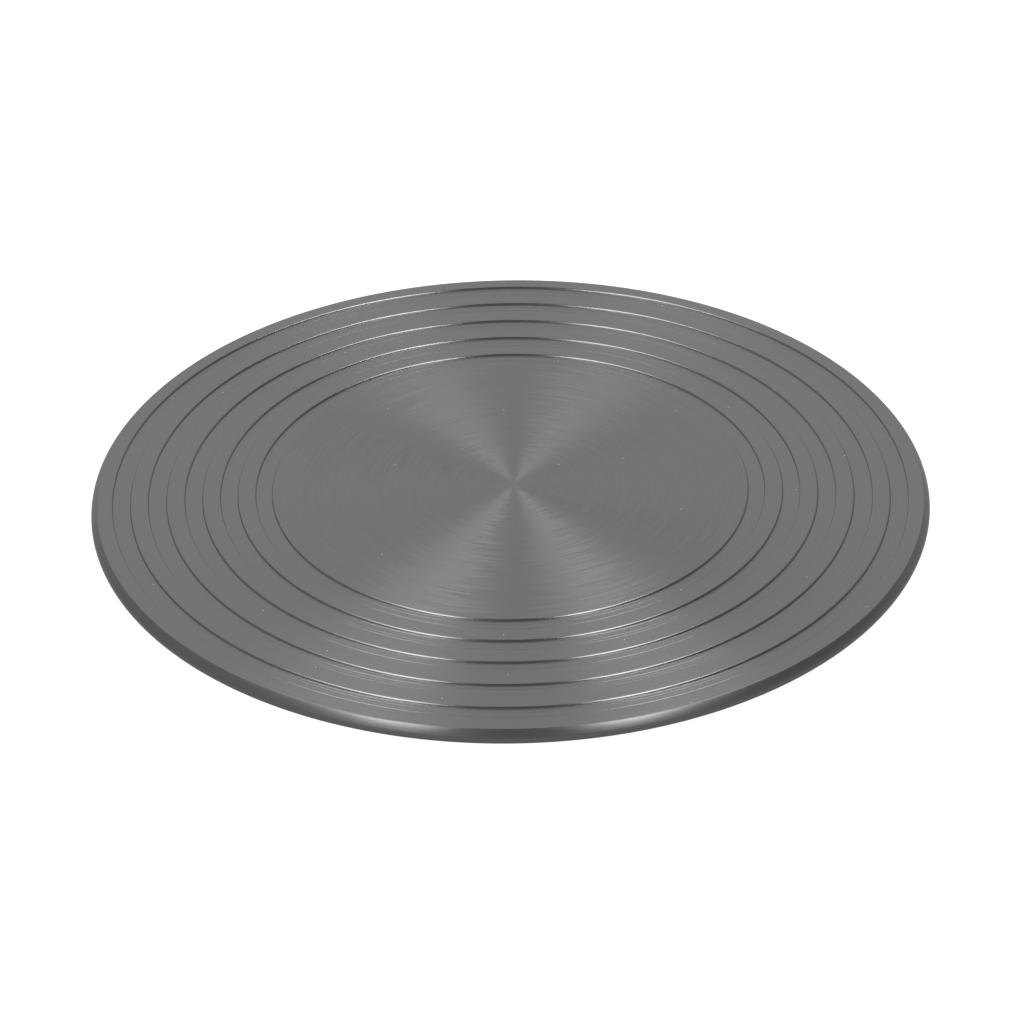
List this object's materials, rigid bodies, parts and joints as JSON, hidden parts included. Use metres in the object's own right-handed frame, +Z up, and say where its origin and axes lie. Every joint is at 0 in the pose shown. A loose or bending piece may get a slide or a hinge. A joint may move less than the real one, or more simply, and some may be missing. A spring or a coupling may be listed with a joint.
{
  "type": "cake turntable",
  "caption": "Low cake turntable: a round-edged grooved aluminium plate that spins on shielded ball bearings in a heavy cast base with rubber feet.",
  "frame": {"origin": "on the spin axis, at the level of the table top under the feet", "axes": "+Z up along the spin axis; +X towards a cap screw, 45 degrees from two feet"},
  "size_m": [0.28, 0.28, 0.04],
  "materials": {
    "plate_anodised": "circularly turned, dark grey anodised",
    "hub_aluminium": "turned, clear anodised",
    "spindle_steel": "ground",
    "bearing_steel": "ground and polished",
    "shield_steel": "pressed sheet",
    "cage_brass": "machined",
    "spring_steel": "oil blackened",
    "screw_steel": "bright zinc plated",
    "base_iron": "sand cast, dark grey stoved enamel",
    "cap_steel": "pressed, zinc plated",
    "felt": "pressed wool felt",
    "foot_rubber": "moulded, matte"
  },
  "bodies": {
    "base": {"base_casting": "base_iron", "upper_bearing_outer_ring": "bearing_steel", "lower_bearing_outer_ring": "bearing_steel", "upper_bearing_shields": "shield_steel", "lower_bearing_shields": "shield_steel", "housing_clip": "spring_steel", "dust_seal": "felt", "bearing_cap": "cap_steel", "cap_screws": "screw_steel", "foot_1": "foot_rubber", "foot_2": "foot_rubber", "foot_3": "foot_rubber", "foot_4": "foot_rubber", "foot_washers": "screw_steel", "foot_screws": "screw_steel"},
    "turntable": {"top_plate": "plate_anodised", "plate_hub": "hub_aluminium", "plate_screws": "screw_steel", "spindle": "spindle_steel", "upper_bearing_inner_ring": "bearing_steel", "lower_bearing_inner_ring": "bearing_steel", "inner_spacer": "spindle_steel", "preload_washer": "spring_steel", "spindle_clip": "spring_steel"},
    "upper_ball_set": {"upper_bearing_cage": "cage_brass", "upper_bearing_balls": "bearing_steel"},
    "lower_ball_set": {"lower_bearing_cage": "cage_brass", "lower_bearing_balls": "bearing_steel"}
  },
  "joints": [
    {"name": "plate_spin", "type": "hinge", "parent": "base", "child": "turntable", "pos_m": [0, 0, 0.0375], "axis": [0, 0, 1], "continuous": true},
    {"name": "upper_ball_orbit", "type": "hinge", "parent": "base", "child": "upper_ball_set", "pos_m": [0, 0, 0.0245], "axis": [0, 0, 1], "continuous": true},
    {"name": "lower_ball_orbit", "type": "hinge", "parent": "base", "child": "lower_ball_set", "pos_m": [0, 0, 0.0135], "axis": [0, 0, 1], "continuous": true}
  ],
  "couplings": [
    {"joint": "upper_ball_orbit", "follows": "plate_spin", "ratio": 0.39868},
    {"joint": "lower_ball_orbit", "follows": "plate_spin", "ratio": 0.39868}
  ]
}
